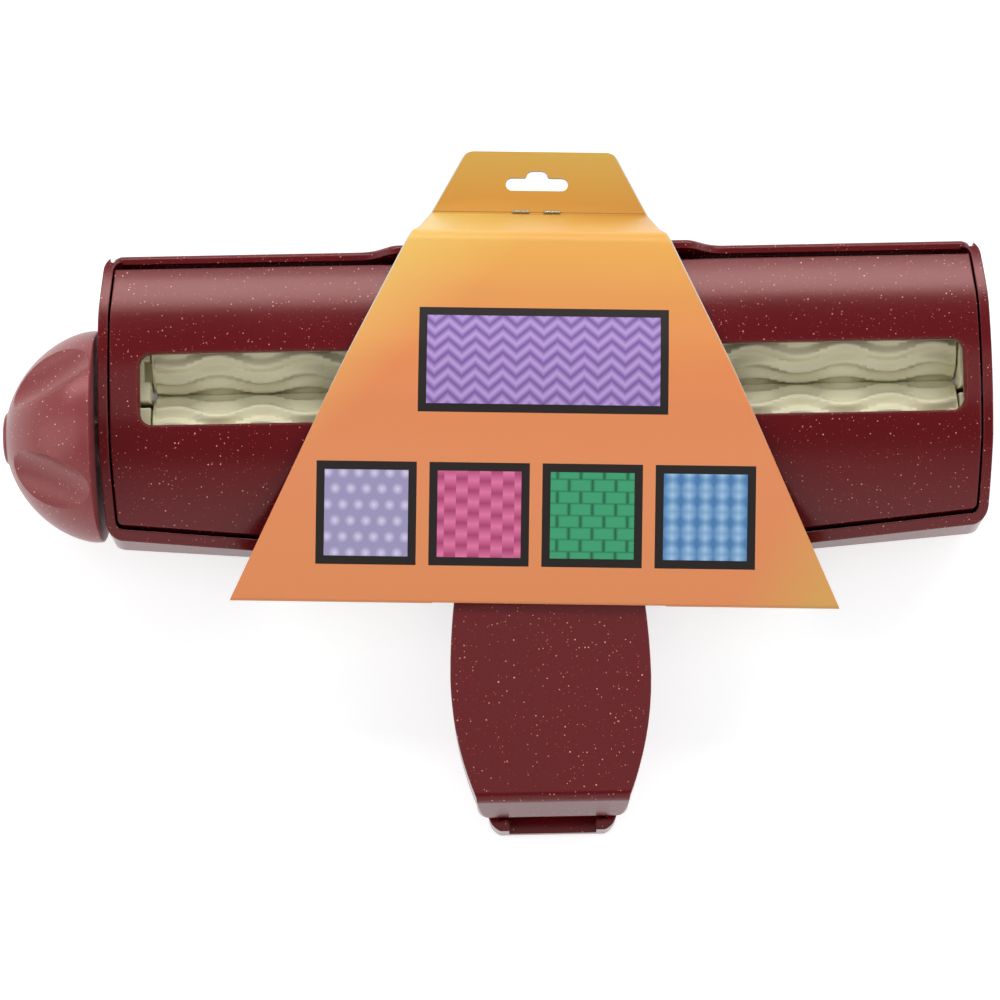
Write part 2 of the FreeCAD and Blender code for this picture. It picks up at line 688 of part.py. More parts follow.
def knob():
    # A short straight lip, then a dome with finger dents, hollow behind and screwed to the shaft's end
    base_x, tip_x = knob_ends()
    lip_x = base_x - knob_lip
    depth = lip_x - tip_x
    curve_points = []
    for i in range(9):
        turn = math.pi / 2 * (1 - i / 8.0)
        reach = depth * math.cos(turn) ** dome_fullness if i else 0.0
        curve_points.append(V(lip_x - reach, knob_radius * math.sin(turn) if i < 8 else 0.0, 0))
    dome = Part.BSplineCurve()
    dome.interpolate(Points=curve_points, PeriodicFlag=False,
                     Tangents=[V(-1, 0, 0)] + [V(0, 0, 0)] * 7 + [V(0, -1, 0)],
                     TangentFlags=[True] + [False] * 7 + [True])
    edges = [Part.LineSegment(V(base_x, 0, 0), V(base_x, knob_radius, 0)).toShape(),
             Part.LineSegment(V(base_x, knob_radius, 0), curve_points[0]).toShape(),
             dome.toShape(),
             Part.LineSegment(curve_points[-1], V(base_x, 0, 0)).toShape()]
    solid = Part.Face(Part.Wire(edges)).revolve(V(0, 0, 0), V(1, 0, 0), 360)
    for i in range(dent_count):
        solid = solid.cut(dent(i, lip_x, depth))
    inner = knob_radius - knob_wall
    room = Part.makeCylinder(inner, knob_room, V(base_x - knob_room, 0, 0), V(1, 0, 0))
    hub = Part.makeCylinder(knob_hub_radius, 12.0, V(base_x - 10.0, 0, 0), V(1, 0, 0))
    solid = solid.cut(room.cut(hub))
    centre = (0, 0)
    bore = rod(centre, shaft_radius + press_clearance, base_x - knob_bore, base_x)
    bore = bore.cut(Part.makeBox(7.9, 8.0, 2.0,
                                 V(base_x - knob_bore, -4, shaft_radius - knob_flat_depth + press_clearance)))
    screw_way = rod(centre, screw_radius + 0.1, tip_x - 5, base_x)
    cap_way = rod(centre, cap_radius, tip_x - 5, tip_x + cap_height + 0.4)
    head_way = rod(centre, screw_head_radius + 0.3, tip_x - 5, screw_seat_x())
    solid = solid.cut([bore, screw_way, cap_way, head_way])
    solid.translate(V(0, drive_axis[0], drive_axis[1]))
    return solid


def dent(index, lip_x, depth):
    # A shallow finger scoop in the dome, longer along the dome's slope than across
    slope_turn = math.asin(dent_radius / knob_radius)
    reach = depth * math.cos(slope_turn) ** dome_fullness
    ellipse = Part.Ellipse(V(0, 0, 0), dent_length, dent_width)
    half = Part.ArcOfEllipse(ellipse, 0, math.pi).toShape()
    closing = Part.LineSegment(V(-dent_length, 0, 0), V(dent_length, 0, 0)).toShape()
    scoop = Part.Face(Part.Wire([half, closing])).revolve(V(0, 0, 0), V(1, 0, 0), 360)
    steepness = depth * dome_fullness * math.cos(slope_turn) ** (dome_fullness - 1) * math.sin(slope_turn)
    normal = math.atan2(steepness, knob_radius * math.cos(slope_turn))
    scoop.translate(V(0, dent_width - dent_depth, 0))
    scoop.rotate(V(0, 0, 0), V(0, 0, 1), math.degrees(math.pi / 2 - normal))
    scoop.translate(V(lip_x - reach, dent_radius, 0))
    scoop.rotate(V(0, 0, 0), V(1, 0, 0), dent_start_deg + 90 + 360.0 * index / dent_count)
    return scoop


def knob_base_plate():
    # Disc that closes the knob's open side round its hub
    base_x, tip_x = knob_ends()
    outer = knob_radius - knob_wall - press_clearance
    plate = rod(drive_axis, outer, base_x - knob_plate_wall, base_x)
    return plate.cut(rod(drive_axis, knob_hub_radius + press_clearance, base_x - 2, base_x + 1))


def drive_washer():
    left = -head_half_width - knob_gap + 0.1
    ring = rod(drive_axis, knob_hub_radius, left, left + washer_wall)
    return ring.cut(rod(drive_axis, shaft_radius + running_clearance, left - 1, left + 2))


def knob_screw():
    seat = screw_seat_x()
    head = rod(drive_axis, screw_head_radius, seat - screw_head, seat)
    shank = rod(drive_axis, screw_radius - press_clearance, seat, seat + 10.5)
    return head.fuse(shank).removeSplitter()


def knob_cap():
    # Round plug over the screw, flush with the knob's tip
    base_x, tip_x = knob_ends()
    cap = rod(drive_axis, cap_radius - 0.08, tip_x - 0.02, tip_x + cap_height)
    rim = [e for e in cap.Edges if abs(e.BoundBox.XMax - (tip_x - 0.02)) < 0.01]
    return cap.makeFillet(0.9, rim)


def hinge_pins():
    # A short steel pin in each end wall, on which the lever's arms turn
    pins = []
    reach = inner_half + hinge_pin_stub - 0.1
    stub = arm_inner_half - hinge_pin_stub
    for s in (-1, 1):
        pins.append(rod((hinge_y, hinge_z), hinge_pin_radius, *sorted((s * stub, s * reach))))
    return Part.makeCompound(pins)


def hinge_bushes():
    bushes = []
    for s in (-1, 1):
        left = min(s * arm_inner_half, s * arm_outer_half)
        ring = rod((hinge_y, hinge_z), hinge_bush_radius, left, left + arm_wall)
        bore = rod((hinge_y, hinge_z), hinge_pin_radius + running_clearance, left - 1, left + 4)
        bushes.append(ring.cut(bore))
    return Part.makeCompound(bushes)


def roller_washers(axis):
    # Thin rings on the shaft between the roller's ends and the bearing blocks
    rings = []
    half = (end_float - 0.1) / 2
    for x in (roller_left_x - collar_left - end_float / 2, roller_right_x + collar_right + end_float / 2):
        ring = rod(axis, shaft_radius + roller_washer_width, x - half, x + half)
        rings.append(ring.cut(rod(axis, shaft_radius + running_clearance, x - 1, x + 1)))
    return Part.makeCompound(rings)


def return_spring():
    # Compression spring, standing in its seats between the two handles
    low = floor_z + spring_wire + 0.05
    high = handle_roof_z(spring_y) - spring_wire - 0.45
    helix = Part.makeHelix((high - low) / spring_turns, high - low, spring_radius)
    section = Part.Wire([Part.makeCircle(spring_wire, V(spring_radius, 0, 0), V(0, 1, 0))])
    spring = Part.Wire(helix).makePipeShell([section], True, True)
    spring.translate(V(0, spring_y, low))
    return spring


def travel_stop():
    # Rubber button in the rear handle that ends the squeeze
    top = handle_roof_z(stop_y) - squeeze_drop(stop_y) - 0.5
    button = stud((0, stop_y), stop_radius, floor_z + press_clearance, top)
    rim = [e for e in button.Edges if abs(e.BoundBox.ZMin - top) < 0.01]
    return button.makeFillet(1.0, rim)


def card_path():
    # Side view of the folded card: header, front ply over the head, lower fold and rear ply
    crest_z = ledge_z + hump_rise + card_gap
    high_y = arc_centre[0] - 4.0
    low_y = handle_root_y + 1.5
    fold_z = handle_top_neck_z + card_gap + 0.6
    return [(card_fold_y, card_header_z + card_wall), (head_top_y + card_gap + 0.3, crest_z + 0.4),
            (head_top_y - 6, crest_z + 0.3), (high_y, front_z(high_y) + card_gap),
            (low_y + 5, front_z(low_y + 5) + card_gap), (low_y - 3, front_z(low_y - 3) + card_gap + 0.4),
            (card_bottom_y, fold_z), (card_lower_fold_y, 0.0), (head_top_y + 2.0, 0.0),
            (card_fold_y, card_header_z - card_wall)]


def hang_card():
    # Printed card sleeve, stapled above the head, with the handle through its lower panel
    loop = rounded(card_path(), [0.0, card_bend, 6.0, 30.0, 30.0, 20.0, 0.7, 0.7, 4.0, 0.0], side)
    inner = loop.makeOffset2D(-card_wall)
    reach = card_bottom_half + 10
    sleeve = across(loop, -reach, reach).cut(across(inner, -reach - 1, reach + 1))
    header = Part.makeBox(2 * reach, card_top_y - card_fold_y + 0.8, 2 * card_wall,
                          V(-reach, card_fold_y - 0.8, card_header_z - card_wall))
    solid = sleeve.fuse(header).removeSplitter()
    right = [(card_bottom_half, card_bottom_y - 1), (card_shoulder_half, card_shoulder_y),
             (card_fold_half, card_fold_y), (card_top_half, card_top_y)]
    sides = right + [(-x, y) for x, y in reversed(right)]
    corners = [0, 0, 0, card_top_corner, card_top_corner, 0, 0, 0]
    solid = solid.common(upright(rounded(sides, corners), -5, 80))
    # the lower panel is open for the handle, all but the rear ply
    solid = solid.cut(Part.makeBox(2 * card_slot_half, card_lower_fold_y - card_bottom_y + 7,
                                   handle_top_neck_z + card_gap,
                                   V(card_slot_x - card_slot_half, card_bottom_y - 5, card_wall)))
    low = card_top_y - hang_hole_down - hang_hole_height
    high = low + hang_hole_height
    bump = high + hang_bump_height
    half = [(hang_hole_half, low), (hang_hole_half, high), (hang_bump_half, high), (hang_bump_half, bump)]
    hole = [(hang_hole_x + x, y) for x, y in half] + [(hang_hole_x - x, y) for x, y in reversed(half)]
    turn = hang_hole_corner
    solid = solid.cut(upright(rounded(hole, [turn, turn, 0.5, turn, turn, 0.5, turn, turn]), 0, 60))
    for place in staple_feet():
        solid = solid.cut(stud(place, staple_wire + press_clearance, card_header_z - 3, card_header_z + 3))
    solid.rotate(V(0, card_fold_y, 0), V(0, 0, 1), -card_turn_deg)
    return solid


def staple_feet():
    # Where the staples' legs go through the header
    y = card_fold_y + staple_up
    half = staple_length / 2
    return [(hang_hole_x + s * staple_spread + t * half, y) for s in (-1, 1) for t in (-1, 1)]


def card_staples():
    # Two wire staples through the header, just above its fold, with their legs folded inwards behind it
    top = card_header_z + card_wall + staple_wire
    low = card_header_z - card_wall - staple_wire
    feet = staple_feet()
    staples = []
    for left, right in ((feet[0], feet[1]), (feet[2], feet[3])):
        wires = [Part.makeCylinder(staple_wire, right[0] - left[0], V(left[0], left[1], top), V(1, 0, 0))]
        for x, y in (left, right):
            way = 1 if x == left[0] else -1
            wires.append(stud((x, y), staple_wire, low, top))
            wires.append(Part.makeCylinder(staple_wire, staple_leg, V(x, y, low), V(way, 0, 0)))
            wires.append(Part.makeSphere(staple_wire, V(x, y, low)))
            wires.append(Part.makeSphere(staple_wire, V(x, y, top)))
        staple = wires[0].fuse(wires[1:])
        staple.rotate(V(0, card_fold_y, 0), V(0, 0, 1), -card_turn_deg)
        staples.append(staple)
    return Part.makeCompound(staples)


def nodes():
    parts = {
        "rear_housing": rear_housing(),
        "top_cover": top_cover(),
        "top_cover_screws": top_cover_screws(),
        "front_lever": front_lever(),
        "hinge_pins": hinge_pins(),
        "hinge_bushes": hinge_bushes(),
        "drive_roller": roller(drive_axis, tilt, 1),
        "idler_roller": roller(idler_axis, tilt + math.pi, -1),
        "drive_shaft": drive_shaft(),
        "idler_shaft": idler_shaft(),
        "drive_roller_washers": roller_washers(drive_axis),
        "idler_roller_washers": roller_washers(idler_axis),
        "knob": knob(),
        "knob_base_plate": knob_base_plate(),
        "knob_washer": drive_washer(),
        "knob_screw": knob_screw(),
        "knob_cap": knob_cap(),
        "return_spring": return_spring(),
        "travel_stop": travel_stop(),
        "hang_card": hang_card(),
        "card_staples": card_staples(),
    }
    for upper, level in ((True, "upper"), (False, "lower")):
        for s, end in ((-1, "left"), (1, "right")):
            parts[level + "_bearing_" + end] = bearing(upper, s)
    return parts


os.makedirs("parts", exist_ok=True)
for name, shape in nodes().items():
    shape.exportStep("parts/" + name + ".step")
    box = shape.BoundBox
    print("%-22s solids %2d valid %s volume %9.1f  x %7.2f %7.2f  y %7.2f %7.2f  z %6.2f %6.2f" % (
        name, len(shape.Solids), shape.isValid(), shape.Volume, box.XMin, box.XMax, box.YMin, box.YMax,
        box.ZMin, box.ZMax))
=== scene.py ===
# Hand paper crimper on a white table: finishes, rollers, knob, hang card, light and camera
import bpy
import math
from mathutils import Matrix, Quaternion, Vector


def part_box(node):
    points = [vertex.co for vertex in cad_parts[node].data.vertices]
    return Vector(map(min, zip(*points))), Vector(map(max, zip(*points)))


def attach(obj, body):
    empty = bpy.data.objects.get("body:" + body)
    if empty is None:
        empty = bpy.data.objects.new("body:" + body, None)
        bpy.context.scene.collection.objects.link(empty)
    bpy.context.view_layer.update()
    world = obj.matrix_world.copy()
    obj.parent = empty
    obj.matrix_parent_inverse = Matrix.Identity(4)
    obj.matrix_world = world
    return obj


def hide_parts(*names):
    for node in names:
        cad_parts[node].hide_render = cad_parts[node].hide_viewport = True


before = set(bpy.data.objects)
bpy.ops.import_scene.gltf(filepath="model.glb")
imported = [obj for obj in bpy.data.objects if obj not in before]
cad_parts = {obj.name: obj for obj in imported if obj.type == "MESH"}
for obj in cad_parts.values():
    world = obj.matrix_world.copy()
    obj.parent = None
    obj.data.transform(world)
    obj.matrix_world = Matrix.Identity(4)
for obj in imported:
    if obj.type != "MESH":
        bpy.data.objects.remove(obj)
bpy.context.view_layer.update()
mm = 0.001
seamReach = 0.00001  # points nearer to each other than this are merged


def paint(red, green, blue):  # screen colour 0 to 255, to the linear one that the shaders take
    def linear(value):
        value = value / 255
        return value / 12.92 if value <= 0.04045 else ((value + 0.055) / 1.055) ** 2.4
    return (linear(red), linear(green), linear(blue), 1)


def clearSelection():
    if bpy.context.object and bpy.context.object.mode != "OBJECT":
        bpy.ops.object.mode_set(mode="OBJECT")
    bpy.ops.object.select_all(action="DESELECT")


def selectOnly(piece):
    clearSelection()
    piece.select_set(True)
    bpy.context.view_layer.objects.active = piece


def settle(piece, name):  # object back at the origin, its place kept in its mesh
    piece.name = name
    selectOnly(piece)
    bpy.ops.object.transform_apply(location=True, rotation=True, scale=True)
    return piece


def joinPieces(pieces, name):
    selectOnly(pieces[0])
    for other in pieces[1:]:
        other.select_set(True)
    bpy.ops.object.join()
    return settle(bpy.context.object, name)


def tidyMesh(piece, sharpFrom):  # doubles merged, faces outwards, smooth where it curves
    selectOnly(piece)
    bpy.ops.object.mode_set(mode="EDIT")
    bpy.ops.mesh.select_all(action="SELECT")
    bpy.ops.mesh.remove_doubles(threshold=seamReach)
    bpy.ops.mesh.normals_make_consistent(inside=False)
    bpy.ops.object.mode_set(mode="OBJECT")
    bpy.ops.object.shade_smooth_by_angle(angle=math.radians(sharpFrom))


def applyModifiers(piece):
    selectOnly(piece)
    for modifier in list(piece.modifiers):
        bpy.ops.object.modifier_apply(modifier=modifier.name)


# Shader building

def addNode(tree, kind, x, y, **settings):
    node = tree.nodes.new(kind)
    node.location = (x, y)
    for key, value in settings.items():
        setattr(node, key, value)
    return node


def feed(tree, socket, value):  # a socket is linked, a plain value is set
    if isinstance(value, bpy.types.NodeSocket):
        tree.links.new(value, socket)
    elif value is not None:
        socket.default_value = value


def calc(tree, operation, first, second=None, third=None, clamp=False):
    node = addNode(tree, "ShaderNodeMath", 0, 0, operation=operation, use_clamp=clamp)
    for index, value in enumerate((first, second, third)):
        feed(tree, node.inputs[index], value)
    return node.outputs[0]


def mixColour(tree, share, first, second):
    node = addNode(tree, "ShaderNodeMix", 0, 0, data_type="RGBA")
    feed(tree, node.inputs["Factor"], share)
    feed(tree, node.inputs[6], first)
    feed(tree, node.inputs[7], second)
    return node.outputs[2]


def ramp(tree, value, stops, ease="LINEAR"):
    node = addNode(tree, "ShaderNodeValToRGB", 0, 0)
    node.color_ramp.interpolation = ease
    while len(node.color_ramp.elements) < len(stops):
        node.color_ramp.elements.new(0.5)
    for element, (place, colour) in zip(node.color_ramp.elements, stops):
        element.position = place
        element.color = colour
    feed(tree, node.inputs[0], value)
    return node.outputs[0]


def newGroup(name, inputs, outputs):
    group = bpy.data.node_groups.new(name, "ShaderNodeTree")
    for socketName, kind, value in inputs:
        socket = group.interface.new_socket(name=socketName, in_out="INPUT", socket_type=kind)
        if value is not None:
            socket.default_value = value
    for socketName, kind in outputs:
        group.interface.new_socket(name=socketName, in_out="OUTPUT", socket_type=kind)
    return group, addNode(group, "NodeGroupInput", -900, 0), addNode(group, "NodeGroupOutput", 900, 0)


def useGroup(tree, group, **values):
    node = addNode(tree, "ShaderNodeGroup", -300, 0, node_tree=group)
    for key, value in values.items():
        feed(tree, node.inputs[key], value)
    return node


def newMaterial(name):
    material = bpy.data.materials.new(name)
    material.use_nodes = True
    tree = material.node_tree
    shader = tree.nodes["Principled BSDF"]
    place = addNode(tree, "ShaderNodeTexCoord", -1300, 0).outputs["Object"]
    return material, tree, shader, place


fleckSpread = {"smallest": 0.5, "weakest": 0.3}  # parts of a fleck's size and strength


def makeFleckGroup():  # glitter moulded into the plastic: a few cells hold a small light dot
    group, given, out = newGroup("glitterFlecks", [
        ("Vector", "NodeSocketVector", None), ("Base", "NodeSocketColor", (0.1, 0, 0, 1)),
        ("Fleck", "NodeSocketColor", (1, 0.6, 0.6, 1)), ("Spacing", "NodeSocketFloat", 1.5),
        ("Size", "NodeSocketFloat", 0.1), ("Share", "NodeSocketFloat", 0.4)],
        [("Color", "NodeSocketColor")])
    scale = calc(group, "DIVIDE", 1000.0, given.outputs["Spacing"])
    cells = addNode(group, "ShaderNodeTexVoronoi", -600, 0, feature="F1", voronoi_dimensions="3D")
    feed(group, cells.inputs["Vector"], given.outputs["Vector"])
    feed(group, cells.inputs["Scale"], scale)
    split = addNode(group, "ShaderNodeSeparateColor", -400, 0)
    feed(group, split.inputs[0], cells.outputs["Color"])
    sized = calc(group, "ADD", split.outputs[1], fleckSpread["smallest"])
    reach = calc(group, "MULTIPLY", given.outputs["Size"], sized)
    dot = calc(group, "LESS_THAN", cells.outputs["Distance"], reach)
    kept = calc(group, "LESS_THAN", split.outputs[0], given.outputs["Share"])
    mask = calc(group, "MULTIPLY", dot, kept)
    weakest = fleckSpread["weakest"]
    strength = calc(group, "MULTIPLY_ADD", split.outputs[2], 1 - weakest, weakest)
    strength = calc(group, "MULTIPLY", mask, strength)
    colour = mixColour(group, strength, given.outputs["Base"], given.outputs["Fleck"])
    feed(group, out.inputs["Color"], colour)
    return group


skinLook = {"cloudScale": 28, "cloudDetail": 3, "fineScale": 900, "fineDetail": 4}


def makeMouldGroup():  # faint unevenness of moulded plastic: colour clouding, roughness and a fine skin
    group, given, out = newGroup("mouldedSkin", [
        ("Vector", "NodeSocketVector", None), ("Base", "NodeSocketColor", (0.5, 0.5, 0.5, 1)),
        ("Cloud", "NodeSocketFloat", 0.1), ("Roughness", "NodeSocketFloat", 0.3),
        ("Vary", "NodeSocketFloat", 0.05)],
        [("Color", "NodeSocketColor"), ("Roughness", "NodeSocketFloat"), ("Height", "NodeSocketFloat")])
    wide = addNode(group, "ShaderNodeTexNoise", -600, 200)
    fine = addNode(group, "ShaderNodeTexNoise", -600, -200)
    for node, size, detail in ((wide, skinLook["cloudScale"], skinLook["cloudDetail"]),
                               (fine, skinLook["fineScale"], skinLook["fineDetail"])):
        feed(group, node.inputs["Vector"], given.outputs["Vector"])
        node.inputs["Scale"].default_value = size
        node.inputs["Detail"].default_value = detail
    swing = calc(group, "MULTIPLY", calc(group, "SUBTRACT", wide.outputs[0], 0.5), given.outputs["Cloud"])
    level = calc(group, "ADD", swing, 1.0)
    shade = addNode(group, "ShaderNodeHueSaturation", 0, 100)
    feed(group, shade.inputs["Color"], given.outputs["Base"])
    feed(group, shade.inputs["Value"], level)
    feed(group, out.inputs["Color"], shade.outputs[0])
    wander = given.outputs["Roughness"]
    for node in (fine, wide):
        away = calc(group, "SUBTRACT", node.outputs[0], 0.5)
        wander = calc(group, "MULTIPLY_ADD", away, given.outputs["Vary"], wander)
    feed(group, out.inputs["Roughness"], wander)
    feed(group, out.inputs["Height"], fine.outputs[0])
    return group


fleckGroup = makeFleckGroup()
mouldGroup = makeMouldGroup()


def roundedNormal(tree, radius, bump=None, distance=0.00002, strength=0.3):
    # moulded edges are never knife sharp
    edge = addNode(tree, "ShaderNodeBevel", -500, -400, samples=6)
    edge.inputs["Radius"].default_value = radius
    if bump is None:
        return edge.outputs[0]
    node = addNode(tree, "ShaderNodeBump", -250, -400)
    node.inputs["Strength"].default_value = strength
    node.inputs["Distance"].default_value = distance
    feed(tree, node.inputs["Height"], bump)
    feed(tree, node.inputs["Normal"], edge.outputs[0])
    return node.outputs[0]


glitterShine = {"ior": 1.5, "level": 0.72, "tint": paint(255, 204, 202)}  # the glitter warms the highlights


def glitterPlastic(name, look):
    material, tree, shader, place = newMaterial(name)
    skin = useGroup(tree, mouldGroup, Vector=place, Base=look["colour"], Cloud=look["cloud"],
                    Roughness=look["roughness"], Vary=look["vary"])
    small = useGroup(tree, fleckGroup, Vector=place, Base=skin.outputs["Color"], Fleck=look["fleck"],
                     Spacing=look["spacing"], Size=look["size"], Share=look["share"])
    deep = useGroup(tree, fleckGroup, Vector=place, Base=small.outputs["Color"], Fleck=look["deepFleck"],
                    Spacing=look["deepSpacing"], Size=look["deepSize"], Share=look["share"])
    feed(tree, shader.inputs["Base Color"], deep.outputs["Color"])
    feed(tree, shader.inputs["Roughness"], skin.outputs["Roughness"])
    shader.inputs["IOR"].default_value = glitterShine["ior"]
    shader.inputs["Specular IOR Level"].default_value = glitterShine["level"]
    shader.inputs["Specular Tint"].default_value = glitterShine["tint"]
    feed(tree, shader.inputs["Normal"], roundedNormal(tree, look["edge"] * mm, skin.outputs["Height"]))
    return material


housingLook = {
    "colour": paint(96, 11, 19), "cloud": 0.16, "roughness": 0.2, "vary": 0.06, "edge": 0.45,
    "fleck": paint(240, 168, 156), "deepFleck": paint(182, 66, 62),
    "spacing": 0.85, "size": 0.13, "share": 0.5, "deepSpacing": 0.6, "deepSize": 0.15,
}
# the knob is the housing's maroon plastic; its paler colour and flecks are painted sheen
knobSheenLook = {
    "colour": paint(138, 62, 65), "cloud": 0.12, "roughness": 0.3, "vary": 0.05, "edge": 0.35,
    "fleck": paint(240, 206, 196), "deepFleck": paint(186, 116, 112),
    "spacing": 0.85, "size": 0.13, "share": 0.5, "deepSpacing": 0.6, "deepSize": 0.15,
}
housingPlastic = glitterPlastic("glitterMaroonPlastic", housingLook)
knobSheenPlastic = glitterPlastic("glitterKnobPlasticPaintedSheen", knobSheenLook)


ivoryLook = {
    "colour": paint(240, 235, 202), "cloud": 0.05, "roughness": 0.38, "vary": 0.08, "edge": 0.15,
    "soft": 0.0006, "softShare": 0.25, "softReach": (1.0, 0.7, 0.35),
}


def makeIvory():
    material, tree, shader, place = newMaterial("ivoryRollerPlastic")
    skin = useGroup(tree, mouldGroup, Vector=place, Base=ivoryLook["colour"], Cloud=ivoryLook["cloud"],
                    Roughness=ivoryLook["roughness"], Vary=ivoryLook["vary"])
    feed(tree, shader.inputs["Base Color"], skin.outputs["Color"])
    feed(tree, shader.inputs["Roughness"], skin.outputs["Roughness"])
    shader.inputs["Subsurface Weight"].default_value = ivoryLook["softShare"]
    shader.inputs["Subsurface Radius"].default_value = ivoryLook["softReach"]
    shader.inputs["Subsurface Scale"].default_value = ivoryLook["soft"]
    feed(tree, shader.inputs["Normal"], roundedNormal(tree, ivoryLook["edge"] * mm, skin.outputs["Height"]))
    return material


ivoryPlastic = makeIvory()


steelLook = {
    "colour": paint(196, 194, 190), "dull": paint(120, 118, 114), "dullShare": 0.45, "edge": 0.1,
    "roughness": 0.28, "streak": 0.18, "streakScale": (2500, 300, 300), "streakDetail": 3,
}


def makeSteel():  # drawn wire and turned pins, with streaks round them
    material, tree, shader, place = newMaterial("drawnSteel")
    stretch = addNode(tree, "ShaderNodeMapping", -1100, 0)
    stretch.inputs["Scale"].default_value = steelLook["streakScale"]
    feed(tree, stretch.inputs["Vector"], place)
    streaks = addNode(tree, "ShaderNodeTexNoise", -900, 0)
    streaks.inputs["Scale"].default_value = 1.0
    streaks.inputs["Detail"].default_value = steelLook["streakDetail"]
    feed(tree, streaks.inputs["Vector"], stretch.outputs[0])
    dulled = mixColour(tree, calc(tree, "MULTIPLY", streaks.outputs[0], steelLook["dullShare"]),
                       steelLook["colour"], steelLook["dull"])
    feed(tree, shader.inputs["Base Color"], dulled)
    feed(tree, shader.inputs["Roughness"], calc(tree, "MULTIPLY_ADD", streaks.outputs[0], steelLook["streak"],
                                                steelLook["roughness"] - steelLook["streak"] / 2))
    shader.inputs["Metallic"].default_value = 1.0
    feed(tree, shader.inputs["Normal"], roundedNormal(tree, steelLook["edge"] * mm))
    return material


steel = makeSteel()


rubberLook = {
    "colour": paint(38, 37, 36), "cloud": 0.3, "roughness": 0.72, "vary": 0.15, "edge": 0.2,
    "grain": 0.00008, "grainStrength": 0.6,
}


def makeRubber():
    material, tree, shader, place = newMaterial("softStopRubber")
    skin = useGroup(tree, mouldGroup, Vector=place, Base=rubberLook["colour"], Cloud=rubberLook["cloud"],
                    Roughness=rubberLook["roughness"], Vary=rubberLook["vary"])
    feed(tree, shader.inputs["Base Color"], skin.outputs["Color"])
    feed(tree, shader.inputs["Roughness"], skin.outputs["Roughness"])
    feed(tree, shader.inputs["Normal"], roundedNormal(tree, rubberLook["edge"] * mm, skin.outputs["Height"],
                                                      rubberLook["grain"], rubberLook["grainStrength"]))
    return material


stopRubber = makeRubber()
print("finishes made: glitter plastic, ivory, steel, rubber")


# Hang card: a soft orange print with five framed samples, on white board

cardLook = {
    "turnDegrees": -1.95, "bottomHalf": 63.1, "bottomY": -14.6, "shoulderHalf": 25.2, "shoulderY": 65.2,
    "foldHalf": 23.55, "foldY": 75.7, "topHalf": 16.2, "topY": 90.0, "bareEdge": 0.3,
    "frame": 1.7, "ink": paint(24, 14, 10), "board": paint(222, 219, 211), "fibre": paint(178, 172, 160),
    "fibreShare": 0.35, "fibreScale": 1800, "fibreDetail": 5, "fibreBump": 0.12, "fibreDepth": 0.00004,
    "sheen": 0.36, "boardRoughness": 0.8, "roughnessVary": 0.08, "rearPly": 1.5, "facing": 0.05,
}
cardPrintAndLight = {  # the ground from the bottom edge up with a painted highlight band where the card bends over the head, a lighter right corner, a lighter upper left that is partly print and partly painted highlight, and painted shade along the fold crease
    "from": 20.0, "span": 115.0, "drift": 0.14, "driftScale": 14,
    # the lightest stop, at 0.76 just below the fold, is painted highlight where the card bends over the
    # head's top; the colour is darker just above the fold
    "stops": [(0.0, paint(226, 140, 86)), (0.25, paint(230, 142, 92)), (0.45, paint(230, 138, 82)),
              (0.62, paint(228, 152, 76)), (0.76, paint(238, 178, 78)), (0.86, paint(208, 146, 44)),
              (1.0, paint(206, 168, 70))],
    "cornerSlope": -0.55, "cornerStart": 48.0, "cornerRate": 0.055, "cornerShare": 0.75,
    "cornerInk": paint(216, 170, 88),
    # lighter upper left below the fold: partly print, partly painted highlight where the card bends over the
    # head
    "printAndHighlightStart": 62.0, "printAndHighlightRate": 0.028, "printAndHighlightShare": 0.8, "printAndHighlightColour": paint(240, 206, 106),
    # painted shade along the fold crease
    "creaseAway": 0.35, "creaseWidth": 0.1, "creaseShadeShare": 0.6, "creaseShadeColour": paint(128, 78, 30),
}
samples = [  # place and half size on the card in mm, pattern, dark and light ink
    {"at": (1.2, 34.5), "half": (24.0, 9.2), "kind": "zigzag",
     "dark": paint(120, 84, 160), "light": paint(186, 158, 218)},
    {"at": (-34.8, 3.3), "half": (8.6, 8.6), "kind": "studs",
     "dark": paint(158, 150, 190), "light": paint(216, 210, 238)},
    {"at": (-11.6, 3.3), "half": (8.6, 8.6), "kind": "steps",
     "dark": paint(172, 62, 110), "light": paint(226, 118, 164)},
    {"at": (11.6, 3.3), "half": (8.6, 8.6), "kind": "bricks",
     "dark": paint(14, 92, 62), "light": paint(58, 160, 112)},
    {"at": (34.8, 3.3), "half": (8.6, 8.6), "kind": "beads",
     "dark": paint(70, 124, 178), "light": paint(160, 198, 230)},
]


def makeSampleGroup():  # a rectangle on the card: its picture and the dark frame round it
    group, given, out = newGroup("framedSample", [
        ("X", "NodeSocketFloat", 0), ("Y", "NodeSocketFloat", 0), ("Centre X", "NodeSocketFloat", 0),
        ("Centre Y", "NodeSocketFloat", 0), ("Half X", "NodeSocketFloat", 9),
        ("Half Y", "NodeSocketFloat", 9), ("Frame", "NodeSocketFloat", 1)],
        [("Picture", "NodeSocketFloat"), ("Frame", "NodeSocketFloat"), ("U", "NodeSocketFloat"),
         ("V", "NodeSocketFloat")])
    u = calc(group, "SUBTRACT", given.outputs["X"], given.outputs["Centre X"])
    v = calc(group, "SUBTRACT", given.outputs["Y"], given.outputs["Centre Y"])
    overX = calc(group, "SUBTRACT", calc(group, "ABSOLUTE", u), given.outputs["Half X"])
    overY = calc(group, "SUBTRACT", calc(group, "ABSOLUTE", v), given.outputs["Half Y"])
    over = calc(group, "MAXIMUM", overX, overY)
    picture = calc(group, "LESS_THAN", over, 0.0)
    outer = calc(group, "LESS_THAN", over, given.outputs["Frame"])
    feed(group, out.inputs["Picture"], picture)
    feed(group, out.inputs["Frame"], calc(group, "SUBTRACT", outer, picture))
    feed(group, out.inputs["U"], u)
    feed(group, out.inputs["V"], v)
    return group


sampleGroup = makeSampleGroup()


